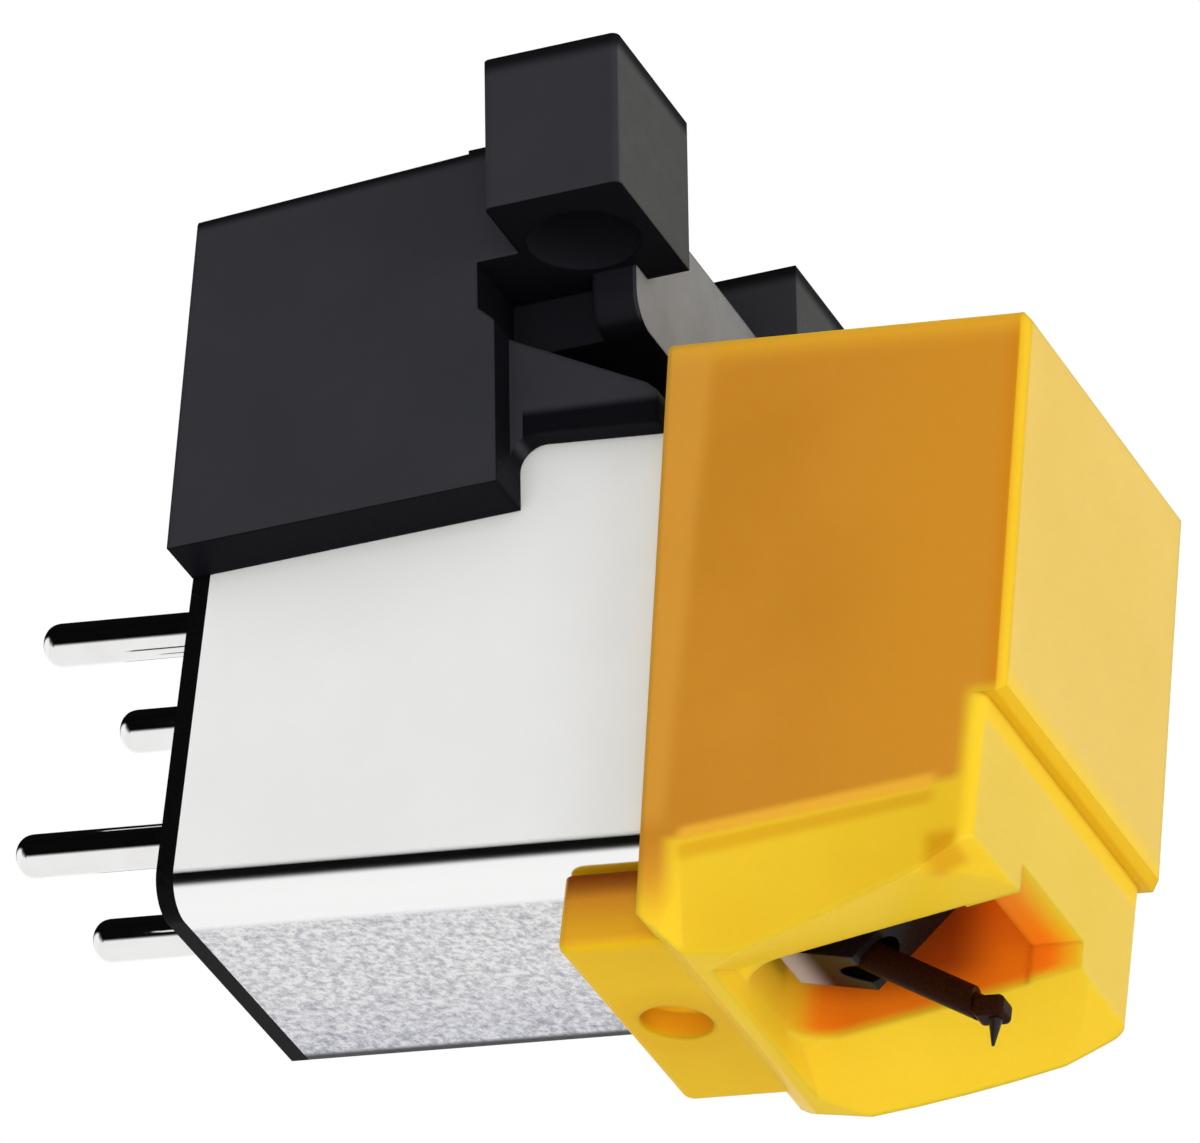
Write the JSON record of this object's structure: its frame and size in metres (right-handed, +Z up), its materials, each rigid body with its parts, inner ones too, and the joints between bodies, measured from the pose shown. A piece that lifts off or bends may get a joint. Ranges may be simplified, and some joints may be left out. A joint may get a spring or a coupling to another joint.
{
  "type": "turntable stylus cartridge",
  "caption": "Moving-magnet turntable cartridge: black saddle with half-inch mounting ears, folded metal can, rear terminal pins and a yellow pull-off stylus holder.",
  "frame": {"origin": "on the mounting plane at the tops of the two ears, midway between the screw holes", "axes": "+Z up towards the headshell, -Y forward towards the stylus, X across the two screw holes"},
  "size_m": [0.0176, 0.0291, 0.0262],
  "materials": {
    "black_plastic": "satin moulded",
    "can_metal": "fine brushed, bright",
    "pin_metal": "polished plating",
    "inner_plastic": "moulded",
    "core_iron": "laminated",
    "copper_wire": "enamelled wire",
    "shield_metal": "plain sheet",
    "yellow_plastic": "translucent moulded",
    "dark_block": "glossy",
    "rubber": "soft",
    "arm_pipe": "carbon-filled",
    "magnet": "plated",
    "diamond": "ground cone"
  },
  "bodies": {
    "cartridge_body": {"mount_saddle": "black_plastic", "shield_can": "can_metal", "terminal_plate": "black_plastic", "pin_right_signal": "pin_metal", "pin_right_ground": "pin_metal", "pin_left_signal": "pin_metal", "pin_left_ground": "pin_metal", "coil_frame": "inner_plastic", "left_core": "core_iron", "right_core": "core_iron", "left_bobbin": "inner_plastic", "right_bobbin": "inner_plastic", "left_coil": "copper_wire", "right_coil": "copper_wire", "centre_shield": "shield_metal"},
    "stylus_assembly": {"stylus_holder": "yellow_plastic", "bearing_block": "dark_block"},
    "damper": {"rubber_damper": "rubber"},
    "stylus_arm": {"cantilever_pipe": "arm_pipe", "magnet_holder": "inner_plastic", "left_magnet": "magnet", "right_magnet": "magnet", "stylus_shank": "arm_pipe", "diamond_tip": "diamond"}
  },
  "joints": [
    {"name": "stylus_pull_off", "type": "slide", "parent": "cartridge_body", "child": "stylus_assembly", "axis": [0, -0.9925, -0.1219], "range_m": [0, 0.009]},
    {"name": "arm_sideways", "type": "hinge", "parent": "stylus_assembly", "child": "damper", "pos_m": [0, -0.00392, -0.02222], "axis": [0, -0.565, 0.8251], "range_deg": [-3, 3], "stiffness_Nm_per_rad": 0.0018},
    {"name": "arm_up_down", "type": "hinge", "parent": "damper", "child": "stylus_arm", "pos_m": [0, -0.00392, -0.02222], "axis": [1, 0, 0], "range_deg": [-3, 3], "stiffness_Nm_per_rad": 0.0018}
  ]
}
